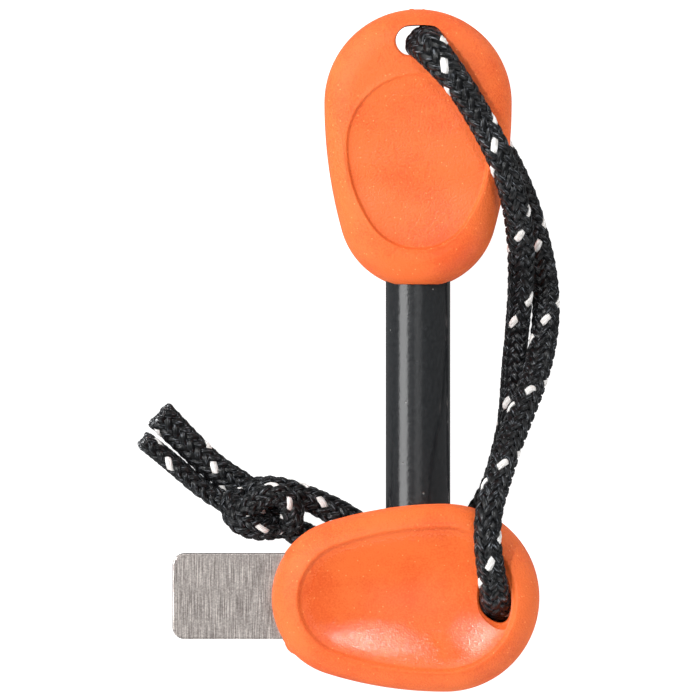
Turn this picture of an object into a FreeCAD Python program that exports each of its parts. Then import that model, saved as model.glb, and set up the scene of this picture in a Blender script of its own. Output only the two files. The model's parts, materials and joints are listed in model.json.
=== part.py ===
import FreeCAD, Part
import math
import os

from FreeCAD import Vector

# The fire starter lies flat on a table, Z = 0. The rod points along -Y from its handle,
# and the striker lies across the rod with its blade pointing along -X.
# All lengths are in millimetres.

# Rod
rod_diameter = 9.5
rod_exposed_length = 55.0
rod_seat_depth = 12.5
rod_tip_chamfer = 0.6

# Egg outline and edges that both handles share
handle_width = 27.3
nose_radius = 11.5
edge_radius = 3.0
eye_across = 7.0
eye_along = 4.9
eye_chamfer = 0.5

# Rod handle
rod_handle_length = 40.3
rod_handle_nose_cut = 0.5
rod_handle_eye_inset = 4.5
collar_wall = 0.6
collar_length = 1.6
rod_dish_inset = 9.5
rod_dish_length = 25.7
rod_dish_width = 20.9
rod_dish_nose_radius = 8.3
rod_dish_depth = 0.9
relief_height = 4.6
relief_slope_length = 5.5
relief_end_inset = 22.0

# Rod handle core
socket_wall = 1.2
socket_recess = 2.0
wing_thickness = 2.4
wing_span = 17.0
wing_length = 8.0
wing_end_margin = 0.8
wing_corner_radius = 1.5
wing_hole_diameter = 2.4
wing_hole_margin = 1.6

# Striker handle
striker_handle_length = 39.1
striker_handle_thickness = 11.5
striker_handle_eye_inset = 6.5
striker_dish_inset = 3.4
striker_dish_length = 32.2
striker_dish_width = 21.5
striker_dish_nose_radius = 8.3
striker_dish_depth = 1.5

# Striker core
core_wall = 1.2
core_inset = 6.0
core_width = 17.0
core_corner_radius = 2.0

# Striker blade
blade_exposed_length = 14.55
blade_width = 12.35
blade_thickness = 2.0
blade_corner_radius = 1.8
blade_edge_offset = 0.3
tang_depth = 22.0
tang_shoulder_depth = 5.0
tang_width = 10.0
tang_hole_diameter = 3.6
tang_hole_spacing = 6.5

# Lanyard
cord_thickness = 3.1
arc_run_share = 0.45
knot_length = 12.6
knot_width = 8.4
knot_height = 8.0
knot_wrap_spacing = 4.2
knot_wrap_rise = 0.5
knot_wrap_lean = 24.0
knot_turn = -15.0

# How the pieces lie on the table
striker_gap = 32.3
striker_overhang = 17.64
striker_turn = -90.0
rod_to_cord_gap = 0.2
rod_to_striker_gap = 0.15
cut_overrun = 1.0

# Places that follow from the sizes
rod_radius = rod_diameter / 2
rod_axis_z = cord_thickness + rod_to_cord_gap + rod_radius
rod_handle_thickness = 2 * rod_axis_z
striker_back_z = rod_axis_z + rod_radius + rod_to_striker_gap
blade_mid_z = striker_back_z + striker_handle_thickness / 2

length_y = rod_handle_length + striker_gap + handle_width
handle_top_y = length_y / 2
collar_y = handle_top_y - rod_handle_length
rod_tip_y = collar_y - rod_exposed_length
rod_root_y = collar_y + rod_seat_depth
striker_axis_y = -length_y / 2 + handle_width / 2
blade_axis_y = striker_axis_y + blade_edge_offset

length_x = blade_exposed_length + striker_handle_length
striker_end_x = length_x / 2
striker_nose_x = striker_end_x - striker_handle_length
blade_tip_x = striker_nose_x - blade_exposed_length
rod_axis_x = striker_end_x - striker_overhang

# The lanyard's route, chosen by hand: from the knot under the rod, up through the striker's
# eye, over its rim, round the right and under the rod handle, up through the handle's eye,
# down its face and back under both pieces to the knot. Each stretch has the points that it
# bends at, and meets the next one midway between its last point and the next one's first.
LANYARD_ROUTE = {
    "lanyard_striker_bight": [
        (-9.4, -25.9, 1.6),
        (-4.9, -28.7, 1.6),
        (0.9, -31.8, 1.6),
        (6.3, -34.1, 1.6),
        (11.5, -35.6, 1.6),
        (17.0, -36.2, 4.85),
        (20.1, -36.4, 10.5),
        (20.45, -36.4, 17.0),
        (20.4, -36.1, 23.75),
        (20.1, -32.9, 27.0),
        (19.2, -28.1, 26.6),
        (19.3, -23.6, 26.2),
    ],
    "lanyard_right_strand": [
        (20.8, -19.0, 23.2),
        (22.3, -14.3, 18.2),
        (24.2, -9.6, 12.4),
        (26.1, -4.9, 7.0),
        (27.5, 0.3, 3.2),
        (28.2, 6.0, 1.6),
        (27.7, 11.8, 1.6),
        (26.3, 17.6, 1.6),
        (24.5, 23.3, 1.6),
    ],
    "lanyard_rod_bight": [
        (21.8, 28.9, 1.6),
        (18.4, 34.2, 1.6),
        (14.9, 39.1, 1.6),
        (11.8, 42.7, 1.6),
        (9.5, 45.4, 5.15),
        (9.5, 45.4, 15.55),
        (12.0, 42.9, 19.1),
        (15.3, 38.9, 18.2),
        (18.5, 33.6, 17.95),
        (21.3, 28.2, 17.9),
        (23.0, 23.4, 16.6),
    ],
    "lanyard_left_strand": [
        (24.0, 18.6, 12.6),
        (24.4, 13.8, 7.6),
        (24.3, 8.6, 3.6),
        (23.8, 2.8, 1.6),
        (23.2, -3.4, 1.6),
        (22.9, -9.4, 1.6),
        (21.9, -15.0, 1.6),
        (20.2, -20.6, 1.6),
    ],
    "lanyard_left_lead": [
        (17.6, -25.4, 1.6),
        (13.4, -28.6, 1.6),
        (8.2, -29.4, 1.6),
        (2.6, -27.8, 1.6),
        (-3.0, -25.2, 1.6),
        (-8.4, -22.4, 1.6),
    ],
}
TAIL_ROUTES = {
    "lanyard_tail_upper": [
        (-15.4, -20.8, 2.2),
        (-19.6, -17.6, 1.7),
        (-23.7, -13.5, 1.6),
        (-28.4, -9.5, 1.6),
    ],
    "lanyard_tail_lower": [
        (-16.4, -24.4, 2.0),
        (-21.6, -20.6, 1.6),
        (-26.0, -16.9, 1.6),
        (-30.4, -13.6, 1.6),
    ],
}
KNOT_CENTRE = (-12.9, -23.3)
MEETS_KNOT = ("lanyard_striker_bight", "lanyard_left_lead", "lanyard_tail_upper", "lanyard_tail_lower")


def egg_face(length, width, small_radius):
    """Flat egg on the XY plane: its wide end touches the origin and its nose points along -Y."""
    large_radius = width / 2
    nose_centre = length - small_radius
    rise = nose_centre - large_radius
    side_radius = (large_radius**2 - small_radius**2 + rise**2) / (2 * (large_radius - small_radius))
    side_centre_x = large_radius - side_radius
    turn = math.atan2(rise, -side_centre_x)

    def side_point(angle, mirror):
        x = side_centre_x + side_radius * math.cos(angle)
        return Vector(mirror * x, -large_radius - side_radius * math.sin(angle), 0)

    wide_left = Vector(-large_radius, -large_radius, 0)
    wide_right = Vector(large_radius, -large_radius, 0)
    arcs = [
        Part.Arc(wide_left, Vector(0, 0, 0), wide_right),
        Part.Arc(wide_right, side_point(turn / 2, 1), side_point(turn, 1)),
        Part.Arc(side_point(turn, 1), Vector(0, -length, 0), side_point(turn, -1)),
        Part.Arc(side_point(turn, -1), side_point(turn / 2, -1), wide_left),
    ]
    return Part.Face(Part.Wire([arc.toShape() for arc in arcs]))


def egg_prism(length, width, small_radius, bottom_z, height):
    """Egg outline raised from bottom_z by height."""
    face = egg_face(length, width, small_radius)
    face.translate(Vector(0, 0, bottom_z))
    return face.extrude(Vector(0, 0, height))


def pebble(length, thickness):
    """Handle blank: an egg slab with its front and back edges rounded."""
    slab = egg_prism(length, handle_width, nose_radius, 0, thickness)
    rims = [edge for edge in slab.Edges if edge.BoundBox.ZLength < edge_radius]
    return slab.makeFillet(edge_radius, rims)


def oval_wire(across, along, z):
    """Slot outline with round ends, its long side along X."""
    half = (across - along) / 2
    radius = along / 2
    top_left, top_right = Vector(-half, radius, z), Vector(half, radius, z)
    low_left, low_right = Vector(-half, -radius, z), Vector(half, -radius, z)
    edges = [
        Part.LineSegment(top_left, top_right),
        Part.Arc(top_right, Vector(across / 2, 0, z), low_right),
        Part.LineSegment(low_right, low_left),
        Part.Arc(low_left, Vector(-across / 2, 0, z), top_left),
    ]
    return Part.Wire([edge.toShape() for edge in edges])


def eye_cutter(back_z, front_z):
    """Oval through hole with chamfered mouths at both faces."""
    hole = Part.Face(oval_wire(eye_across, eye_along, back_z - cut_overrun))
    cutter = hole.extrude(Vector(0, 0, front_z - back_z + 2 * cut_overrun))
    wide = 2 * eye_chamfer
    for mouth_z, inner_z in ((back_z, back_z + eye_chamfer), (front_z, front_z - eye_chamfer)):
        inner = oval_wire(eye_across, eye_along, inner_z)
        mouth = oval_wire(eye_across + wide, eye_along + wide, mouth_z)
        cutter = cutter.fuse(Part.makeLoft([inner, mouth], True, True))
    return cutter


def rounded_plate(size_x, size_y, thickness, corner_radius):
    """Flat plate centred on the origin with rounded corners."""
    plate = Part.makeBox(size_x, size_y, thickness, Vector(-size_x / 2, -size_y / 2, -thickness / 2))
    corners = [edge for edge in plate.Edges if edge.BoundBox.ZLength > thickness / 2]
    return plate.makeFillet(corner_radius, corners)


def across_rod(radius, start_y, end_y):
    """Round bar along the rod's axis between two places on Y."""
    return Part.makeCylinder(radius, end_y - start_y, Vector(rod_axis_x, start_y, rod_axis_z), Vector(0, 1, 0))


def ferro_rod():
    """Round rod with a bevelled tip and root."""
    bar = across_rod(rod_radius, rod_tip_y, rod_root_y)
    rims = [edge for edge in bar.Edges if edge.BoundBox.YLength < rod_tip_chamfer]
    return bar.makeChamfer(rod_tip_chamfer, rims)


def rod_handle_core():
    """Hard socket round the rod's root, closed at its end, with two wings that the grip locks round."""
    socket_end_y = rod_root_y + socket_wall
    core = across_rod(rod_radius + socket_wall, collar_y + socket_recess, socket_end_y)
    wings = rounded_plate(wing_span, wing_length, wing_thickness, wing_corner_radius)
    hole_offset = wing_span / 2 - wing_hole_margin - wing_hole_diameter / 2
    for side in (-1, 1):
        hole_place = Vector(side * hole_offset, 0, -wing_thickness)
        wings = wings.cut(Part.makeCylinder(wing_hole_diameter / 2, 2 * wing_thickness, hole_place))
    wings.translate(Vector(rod_axis_x, socket_end_y - wing_end_margin - wing_length / 2, rod_axis_z))
    return core.fuse(wings).removeSplitter().cut(ferro_rod())


def relief_cutter():
    """Waste under the lanyard end of the rod handle: an S-shaped step up from the table."""
    start_y = handle_top_y - relief_end_inset - relief_slope_length
    end_y = start_y + relief_slope_length
    far_y = handle_top_y + cut_overrun
    middle = Vector(0, (start_y + end_y) / 2, relief_height / 2)
    radius = (relief_slope_length**2 + relief_height**2) / (4 * relief_height)
    half_turn = math.asin(relief_slope_length / 2 / radius) / 2
    dip_y, dip_z = radius * math.sin(half_turn), radius * (1 - math.cos(half_turn))
    low, high = Vector(0, start_y, 0), Vector(0, end_y, relief_height)
    far_high, far_low = Vector(0, far_y, relief_height), Vector(0, far_y, -cut_overrun)
    corners = [high, far_high, far_low, Vector(0, start_y, -cut_overrun), low]
    edges = [Part.Arc(low, Vector(0, start_y + dip_y, dip_z), middle)]
    edges.append(Part.Arc(middle, Vector(0, end_y - dip_y, relief_height - dip_z), high))
    edges += [Part.LineSegment(a, b) for a, b in zip(corners, corners[1:])]
    waste = Part.Face(Part.Wire([edge.toShape() for edge in edges]))
    waste.translate(Vector(rod_axis_x - handle_width, 0, 0))
    return waste.extrude(Vector(2 * handle_width, 0, 0))


def rod_handle_grip():
    """Moulded grip of the rod: pebble with a dish, a lanyard eye and a thinned lanyard end."""
    blank = pebble(rod_handle_length + rod_handle_nose_cut, rod_handle_thickness)
    blank.translate(Vector(rod_axis_x, handle_top_y, 0))
    nose_box = Part.makeBox(
        2 * handle_width,
        handle_width,
        2 * rod_handle_thickness,
        Vector(rod_axis_x - handle_width, collar_y - handle_width, -rod_handle_thickness / 2),
    )
    grip = blank.cut(nose_box)
    grip = grip.fuse(across_rod(rod_radius + collar_wall, collar_y, collar_y + collar_length))
    dish_z = rod_handle_thickness - rod_dish_depth
    dish_height = rod_dish_depth + cut_overrun
    dish = egg_prism(rod_dish_length, rod_dish_width, rod_dish_nose_radius, dish_z, dish_height)
    dish.translate(Vector(rod_axis_x, handle_top_y - rod_dish_inset, 0))
    eye = eye_cutter(relief_height, rod_handle_thickness)
    eye.translate(Vector(rod_axis_x, handle_top_y - rod_handle_eye_inset, 0))
    for waste in (relief_cutter(), dish, eye, ferro_rod(), rod_handle_core()):
        grip = grip.cut(waste)
    return grip


def striker_blade():
    """Flat scraper with square long edges, and a narrower tang with two holes inside the handle."""
    blade_end = blade_tip_x + blade_exposed_length + tang_shoulder_depth
    blade = rounded_plate(blade_end - blade_tip_x, blade_width, blade_thickness, blade_corner_radius)
    blade.translate(Vector((blade_tip_x + blade_end) / 2, blade_axis_y, blade_mid_z))
    tang_end = striker_nose_x + tang_depth
    tang_start = blade_end - 2 * blade_corner_radius
    tang = rounded_plate(tang_end - tang_start, tang_width, blade_thickness, blade_corner_radius)
    tang.translate(Vector((tang_start + tang_end) / 2, blade_axis_y, blade_mid_z))
    blade = blade.fuse(tang).removeSplitter()
    for index in range(2):
        hole_x = tang_end - tang_hole_spacing * (index + 1 / 2)
        hole_place = Vector(hole_x, blade_axis_y, blade_mid_z - blade_thickness)
        blade = blade.cut(Part.makeCylinder(tang_hole_diameter / 2, 2 * blade_thickness, hole_place))
    return blade


def striker_handle_core():
    """Hard carrier moulded round the tang, with pins through the tang's holes."""
    start_x = striker_nose_x + core_inset
    end_x = striker_nose_x + tang_depth + core_wall
    core = rounded_plate(end_x - start_x, core_width, blade_thickness + 2 * core_wall, core_corner_radius)
    core.translate(Vector((start_x + end_x) / 2, striker_axis_y, blade_mid_z))
    return core.cut(striker_blade())


def striker_handle_grip():
    """Moulded grip of the striker: the same pebble turned a quarter, with a wide dish round its eye."""
    grip = pebble(striker_handle_length, striker_handle_thickness)
    dish_z = striker_handle_thickness - striker_dish_depth
    dish_height = striker_dish_depth + cut_overrun
    dish = egg_prism(striker_dish_length, striker_dish_width, striker_dish_nose_radius, dish_z, dish_height)
    dish.translate(Vector(0, -striker_dish_inset, 0))
    eye = eye_cutter(0, dish_z)
    eye.translate(Vector(0, -striker_handle_eye_inset, 0))
    grip = grip.cut(dish).cut(eye)
    grip.rotate(Vector(0, 0, 0), Vector(0, 0, 1), striker_turn)
    grip.translate(Vector(striker_end_x, striker_axis_y, striker_back_z))
    return grip.cut(striker_blade()).cut(striker_handle_core())


def corner_arcs(points):
    """Start, middle, end and radius of the arc at each inner point of a route."""
    arcs = []
    for before, corner, after in zip(points, points[1:], points[2:]):
        back, ahead = before - corner, after - corner
        half_turn = (math.pi - back.getAngle(ahead)) / 2
        tangent = arc_run_share * min(back.Length, ahead.Length)
        radius = tangent / math.tan(half_turn)
        back.normalize()
        ahead.normalize()
        inward = (back + ahead).normalize()
        middle = corner + inward * (radius / math.cos(half_turn) - radius)
        arcs.append((corner + back * tangent, middle, corner + ahead * tangent, radius))
    return arcs


def route_wire(start, arcs, end):
    """Path from start through the arcs to end, with straight runs between them."""
    edges = []
    for arc_start, middle, arc_end, _ in arcs:
        edges.append(Part.LineSegment(start, arc_start).toShape())
        edges.append(Part.Arc(arc_start, middle, arc_end).toShape())
        start = arc_end
    edges.append(Part.LineSegment(start, end).toShape())
    return Part.Wire(edges)


def stretch_wires(route):
    """One path for each named stretch of a route, which meet midway between their points."""
    points = [Vector(*place) for stretch in route.values() for place in stretch]
    arcs = corner_arcs(points)
    print("radii", " ".join(f"{arc[-1]:.1f}" for arc in arcs))
    wires = {}
    start, done = points[0], 0
    for name, stretch in route.items():
        first_arc = max(done - 1, 0)
        done += len(stretch)
        end = (points[done - 1] + points[done]) / 2 if done < len(points) else points[-1]
        wires[name] = route_wire(start, arcs[first_arc : done - 1], end)
        start = end
    return wires


def tube(name, path):
    """Round cord solid along a path, with its size printed against its section times its length."""
    first = path.Edges[0]
    heading = first.tangentAt(first.FirstParameter)
    section = Part.Wire([Part.makeCircle(cord_thickness / 2, first.valueAt(first.FirstParameter), heading)])
    solid = path.makePipeShell([section], True, False)
    expected = math.pi * cord_thickness**2 / 4 * path.Length
    print(f"{name}: length {path.Length:.1f} mm, volume {solid.Volume:.1f} of {expected:.1f} mm3")
    return solid


def lanyard_knot():
    """Overhand knot as one body with two raised turns, flat where it lies on the table."""
    half_oval = Part.Ellipse(Vector(0, 0, 0), knot_length / 2, knot_width / 2)
    outline = [
        Part.ArcOfEllipse(half_oval, 0, math.pi).toShape(),
        Part.LineSegment(Vector(-knot_length / 2, 0, 0), Vector(knot_length / 2, 0, 0)).toShape(),
    ]
    knot = Part.Face(Part.Wire(outline)).revolve(Vector(0, 0, 0), Vector(1, 0, 0), 360)
    wrap_radius = (knot_width - cord_thickness) / 2 + knot_wrap_rise
    for side in (-1, 1):
        wrap = Part.makeTorus(wrap_radius, cord_thickness / 2, Vector(0, 0, 0), Vector(1, 0, 0))
        wrap.rotate(Vector(0, 0, 0), Vector(0, 0, 1), side * knot_wrap_lean)
        wrap.translate(Vector(side * knot_wrap_spacing / 2, 0, 0))
        knot = knot.fuse(wrap)
    knot.rotate(Vector(0, 0, 0), Vector(0, 0, 1), knot_turn)
    knot.translate(Vector(*KNOT_CENTRE, knot_height / 2))
    corner = Vector(KNOT_CENTRE[0] - knot_length, KNOT_CENTRE[1] - knot_length, -knot_height)
    return knot.cut(Part.makeBox(2 * knot_length, 2 * knot_length, knot_height, corner))


def lanyard():
    """The cord's stretches, its two tails and its knot."""
    knot = lanyard_knot()
    wires = stretch_wires(LANYARD_ROUTE)
    for name, route in TAIL_ROUTES.items():
        wires.update(stretch_wires({name: route}))
    shapes = {name: tube(name, wire) for name, wire in wires.items()}
    for name in MEETS_KNOT:
        shapes[name] = shapes[name].cut(knot)
    shapes["lanyard_knot"] = knot
    return shapes


def main():
    """Write every sub-part to its own file."""
    os.makedirs("parts", exist_ok=True)
    shapes = {
        "ferro_rod": ferro_rod(),
        "rod_handle_core": rod_handle_core(),
        "rod_handle_grip": rod_handle_grip(),
        "striker_blade": striker_blade(),
        "striker_handle_core": striker_handle_core(),
        "striker_handle_grip": striker_handle_grip(),
    }
    shapes.update(lanyard())
    for name, shape in shapes.items():
        solid = shape.Solids[0] if len(shape.Solids) == 1 else shape
        print(f"{name}: {len(shape.Solids)} solid, valid {solid.isValid()}, volume {solid.Volume:.1f} mm3")
        solid.exportStep(f"parts/{name}.step")


main()
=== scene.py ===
"""Looks of a ferro rod fire starter: an egg-handled rod and its striker, tied by a braided lanyard.

Sizes of the handles, the blade and the braid are in millimetres, and MM turns them into metres. The
lanyard's routes and marks, the camera and the lights are in metres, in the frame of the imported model.
"""

import json
import logging
import math
from dataclasses import dataclass
from enum import Enum

import bmesh
import bpy
import numpy as np
from mathutils import Matrix, Vector

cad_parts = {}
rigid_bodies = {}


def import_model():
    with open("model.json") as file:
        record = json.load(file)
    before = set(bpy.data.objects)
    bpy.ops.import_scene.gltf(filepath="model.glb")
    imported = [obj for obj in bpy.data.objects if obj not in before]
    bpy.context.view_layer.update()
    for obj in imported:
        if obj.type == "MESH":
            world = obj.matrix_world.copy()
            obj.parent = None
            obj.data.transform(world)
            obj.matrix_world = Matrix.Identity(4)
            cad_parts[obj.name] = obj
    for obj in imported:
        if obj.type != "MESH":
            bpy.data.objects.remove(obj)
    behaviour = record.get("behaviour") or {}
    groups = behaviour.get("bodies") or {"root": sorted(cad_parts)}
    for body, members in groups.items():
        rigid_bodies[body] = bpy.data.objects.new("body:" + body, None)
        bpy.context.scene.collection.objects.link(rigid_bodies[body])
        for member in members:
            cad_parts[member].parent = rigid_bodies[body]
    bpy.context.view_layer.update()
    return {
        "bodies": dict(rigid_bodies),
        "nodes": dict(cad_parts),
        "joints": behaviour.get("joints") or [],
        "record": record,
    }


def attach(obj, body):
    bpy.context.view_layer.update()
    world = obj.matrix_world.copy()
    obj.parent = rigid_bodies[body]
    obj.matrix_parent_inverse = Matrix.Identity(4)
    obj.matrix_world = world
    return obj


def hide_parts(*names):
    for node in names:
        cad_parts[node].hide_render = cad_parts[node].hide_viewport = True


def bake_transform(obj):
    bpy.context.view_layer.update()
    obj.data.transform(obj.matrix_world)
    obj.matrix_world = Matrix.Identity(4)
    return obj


LOG = logging.getLogger("fire_starter")
MM = 0.001
# Both handles share their width and the radius of their nose.
HANDLE_WIDTH = 27.3
NOSE_RADIUS = 11.5

Point = tuple[float, float, float]
Span = tuple[float, float]
Mark = tuple[float, float, int]
Shares = tuple[float, ...]
Stops = tuple[tuple[float, str], ...]
Inputs = dict[str | int, object]


# Finishes


def linear(colour: str) -> tuple[float, float, float, float]:
    """Turn an sRGB colour into Blender's linear one.

    Args:
        colour: six hex digits after a hash.

    Returns:
        Linear red, green, blue and a full alpha.
    """
    parts = [int(colour[i : i + 2], 16) / 255 for i in (1, 3, 5)]
    red, green, blue = (c / 12.92 if c <= 0.04045 else ((c + 0.055) / 1.055) ** 2.4 for c in parts)
    return red, green, blue, 1.0


def add_node(
    tree: bpy.types.NodeTree, kind: str, inputs: Inputs | None = None, stops: Stops = (), **settings: object
) -> bpy.types.Node:
    """Add one node with its settings and inputs.

    Args:
        tree: the node tree of a material or a world.
        kind: the node's type name without its ShaderNode prefix.
        inputs: for each input's name or number, a plain value or an output socket to link.
        stops: a colour ramp's positions and hex colours.
        settings: the node's own properties.

    Returns:
        The new node.
    """
    node = tree.nodes.new("ShaderNode" + kind)
    for name, value in settings.items():
        setattr(node, name, value)
    for name, value in (inputs or {}).items():
        if isinstance(value, bpy.types.NodeSocket):
            tree.links.new(value, node.inputs[name])
        else:
            node.inputs[name].default_value = value
    if stops:
        elements = node.color_ramp.elements
        while len(elements) < len(stops):
            elements.new(0.5)
        for element, (position, colour) in zip(elements, stops):
            element.position = position
            element.color = linear(colour)
    return node


def per_mm(size: float) -> float:
    """Return the texture scale, in metre space, of features of a size in millimetres."""
    return 1 / (size * MM)


def scatter(
    tree: bpy.types.NodeTree, place: bpy.types.NodeSocket, apart_mm: float, edge: Span, skipped: float
) -> bpy.types.NodeSocket:
    """Scatter small round spots over a surface.

    Args:
        tree: the material's node tree.
        place: the coordinates.
        apart_mm: how far apart the spots' places are, in millimetres.
        edge: where a spot starts and ends to fade, as shares of that.
        skipped: the share of places that stay bare.

    Returns:
        The share of spot at each place.
    """
    cells = add_node(tree, "TexVoronoi", {"Vector": place, "Scale": per_mm(apart_mm)})
    fall = {"From Min": edge[0], "From Max": edge[1], "To Min": 1.0, "To Max": 0.0}
    near = add_node(tree, "MapRange", {"Value": cells.outputs["Distance"], **fall})
    picked = {0: cells.outputs["Color"], 1: skipped}
    chosen = add_node(tree, "Math", picked, operation="GREATER_THAN")
    both = {0: near.outputs["Result"], 1: chosen.outputs[0]}
    return add_node(tree, "Math", both, operation="MULTIPLY").outputs[0]


@dataclass(frozen=True)
class Finish:
    """One real surface finish."""

    name: str

    def dress(self, tree: bpy.types.NodeTree) -> Inputs:
        """Add the finish's nodes.

        Args:
            tree: the material's node tree.

        Returns:
            The inputs of its shader.
        """
        raise NotImplementedError

    def material(self) -> bpy.types.Material:
        """Make the finish's material, or find it when it is already made.

        Returns:
            The material.
        """
        found = bpy.data.materials.get(self.name)
        if found:
            return found
        made = bpy.data.materials.new(self.name)
        made.use_nodes = True
        tree = made.node_tree
        tree.nodes.clear()
        shader = add_node(tree, "BsdfPrincipled", self.dress(tree))
        add_node(tree, "OutputMaterial", {"Surface": shader.outputs["BSDF"]})
        return made


@dataclass(frozen=True)
class MouldedElastomer(Finish):
    """Injection-moulded orange thermoplastic elastomer from a finely spark-eroded mould.

    To the eye: an even, slightly translucent orange with a soft sheen, faint cloudy flow marks, a fine
    grain and a few pale specks. Thumbs have polished the dishes, so that where the share "rubbed" is
    high it is smoother and shinier. Shine and bump are given untouched and polished.
    """

    body: str = "#da5725"
    cloud: str = "#e66b31"
    speck: str = "#fb9a5c"
    colour_span: Span = (0.7, 1.0)
    grain_mm: float = 0.28
    grain_share: float = 0.9
    cloud_mm: float = 9.0
    speck_mm: float = 0.75
    speck_edge: Span = (0.06, 0.18)
    specks_skipped: float = 0.6
    matte_span: Span = (0.44, 0.56)
    polish: float = -0.38
    shine: Span = (0.26, 0.62)
    bump: Span = (1.0, 0.4)
    bump_mm: float = 0.12

    def dress(self, tree: bpy.types.NodeTree) -> Inputs:
        """Add cloudy colour, specks and grain.

        Args:
            tree: the material's node tree.

        Returns:
            The inputs of its shader.
        """
        place = add_node(tree, "TexCoord").outputs["Object"]
        clouds = add_node(tree, "TexNoise", {"Vector": place, "Scale": per_mm(self.cloud_mm), "Detail": 3.0})
        grain = add_node(tree, "TexNoise", {"Vector": place, "Scale": per_mm(self.grain_mm), "Detail": 4.0})
        grain = grain.outputs["Fac"]
        parts = {0: grain, 1: self.grain_share, 2: clouds.outputs["Fac"]}
        mottle = add_node(tree, "Math", parts, operation="MULTIPLY_ADD")
        stops = ((self.colour_span[0], self.body), (self.colour_span[1], self.cloud))
        base = add_node(tree, "ValToRGB", {"Fac": mottle.outputs[0]}, stops)
        specks = scatter(tree, place, self.speck_mm, self.speck_edge, self.specks_skipped)
        colours = {0: specks, 6: base.outputs["Color"], 7: linear(self.speck)}
        mix = add_node(tree, "Mix", colours, data_type="RGBA")
        low, high = self.matte_span
        uneven = {"From Min": 0.3, "From Max": 0.7, "To Min": low, "To Max": high}
        matte = add_node(tree, "MapRange", {"Value": grain, **uneven})
        rubbed = add_node(tree, "Attribute", attribute_name="rubbed").outputs["Fac"]
        polished = {0: rubbed, 1: self.polish, 2: matte.outputs["Result"]}
        rough = add_node(tree, "Math", polished, operation="MULTIPLY_ADD")
        from_to = {"To Min": self.shine[0], "To Max": self.shine[1]}
        shine = add_node(tree, "MapRange", {"Value": rubbed, **from_to})
        from_to = {"To Min": self.bump[0], "To Max": self.bump[1]}
        depth = add_node(tree, "MapRange", {"Value": rubbed, **from_to})
        relief = {"Height": grain, "Strength": depth.outputs["Result"], "Distance": self.bump_mm * MM}
        return {
            "Base Color": mix.outputs[2],
            "Roughness": rough.outputs[0],
            "IOR": 1.49,
            "Specular IOR Level": shine.outputs["Result"],
            "Subsurface Weight": 0.1,
            "Subsurface Radius": (1.0, 0.35, 0.12),
            "Subsurface Scale": 0.6 * MM,
            "Normal": add_node(tree, "Bump", relief).outputs["Normal"],
        }


@dataclass(frozen=True)
class MouldedNylon(Finish):
    """Black glass-filled nylon, moulded: a dull, faintly mottled black."""

    mottle_mm: float = 0.8
    colours: Stops = ((0.3, "#1b1b1d"), (0.7, "#26262a"))

    def dress(self, tree: bpy.types.NodeTree) -> Inputs:
        """Add a faint mottle.

        Args:
            tree: the material's node tree.

        Returns:
            The inputs of its shader.
        """
        place = add_node(tree, "TexCoord").outputs["Object"]
        mottle = add_node(tree, "TexNoise", {"Vector": place, "Scale": per_mm(self.mottle_mm), "Detail": 3.0})
        base = add_node(tree, "ValToRGB", {"Fac": mottle.outputs["Fac"]}, self.colours)
        return {"Base Color": base.outputs["Color"], "Roughness": 0.6, "IOR": 1.53}


@dataclass(frozen=True)
class PaintedRod(Finish):
    """Ferrocerium rod under its black protective paint.

    To the eye: a satin near-black with a broad soft highlight, a very fine cast grain and a few pits
    where the paint is thin.
    """

    paint: Stops = ((0.35, "#181a1c"), (0.7, "#252729"))
    bare: str = "#6d6d6b"
    grain_mm: float = 0.5
    pit_mm: float = 1.5
    pit_edge: Span = (0.05, 0.13)
    pits_skipped: float = 0.8
    bump_mm: float = 0.05

    def dress(self, tree: bpy.types.NodeTree) -> Inputs:
        """Add grain, pits and thin spots.

        Args:
            tree: the material's node tree.

        Returns:
            The inputs of its shader.
        """
        place = add_node(tree, "TexCoord").outputs["Object"]
        grain = add_node(tree, "TexNoise", {"Vector": place, "Scale": per_mm(self.grain_mm), "Detail": 4.0})
        grain = grain.outputs["Fac"]
        base = add_node(tree, "ValToRGB", {"Fac": grain}, self.paint)
        pits = scatter(tree, place, self.pit_mm, self.pit_edge, self.pits_skipped)
        colours = {0: pits, 6: base.outputs["Color"], 7: linear(self.bare)}
        mix = add_node(tree, "Mix", colours, data_type="RGBA")
        height = add_node(tree, "Math", {0: grain, 1: pits}, operation="SUBTRACT")
        relief = {"Height": height.outputs[0], "Strength": 0.5, "Distance": self.bump_mm * MM}
        normal = add_node(tree, "Bump", relief).outputs["Normal"]
        return {"Base Color": mix.outputs[2], "Roughness": 0.185, "IOR": 1.62, "Normal": normal}


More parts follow.
